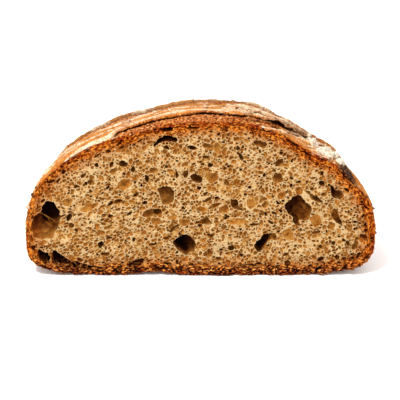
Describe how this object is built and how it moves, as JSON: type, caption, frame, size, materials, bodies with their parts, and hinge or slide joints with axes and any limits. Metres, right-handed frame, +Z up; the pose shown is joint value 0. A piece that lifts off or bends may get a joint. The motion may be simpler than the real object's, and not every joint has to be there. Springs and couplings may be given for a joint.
{
  "type": "half loaf of whole wheat bread",
  "caption": "Half of a round rustic whole wheat loaf, cut down the middle, with an open crumb and a scored, floured crust.",
  "frame": {"origin": "on the surface that the loaf stands on, under the middle of its box", "axes": "+X along the cut face, +Y from the cut face to the back of the loaf, +Z up"},
  "size_m": [0.23, 0.1152, 0.1096],
  "materials": {
    "crust": "baked crust, dull, dusted with flour",
    "crumb": "soft open crumb, dull"
  },
  "bodies": {
    "root": {"loaf": "crust"}
  },
  "joints": []
}
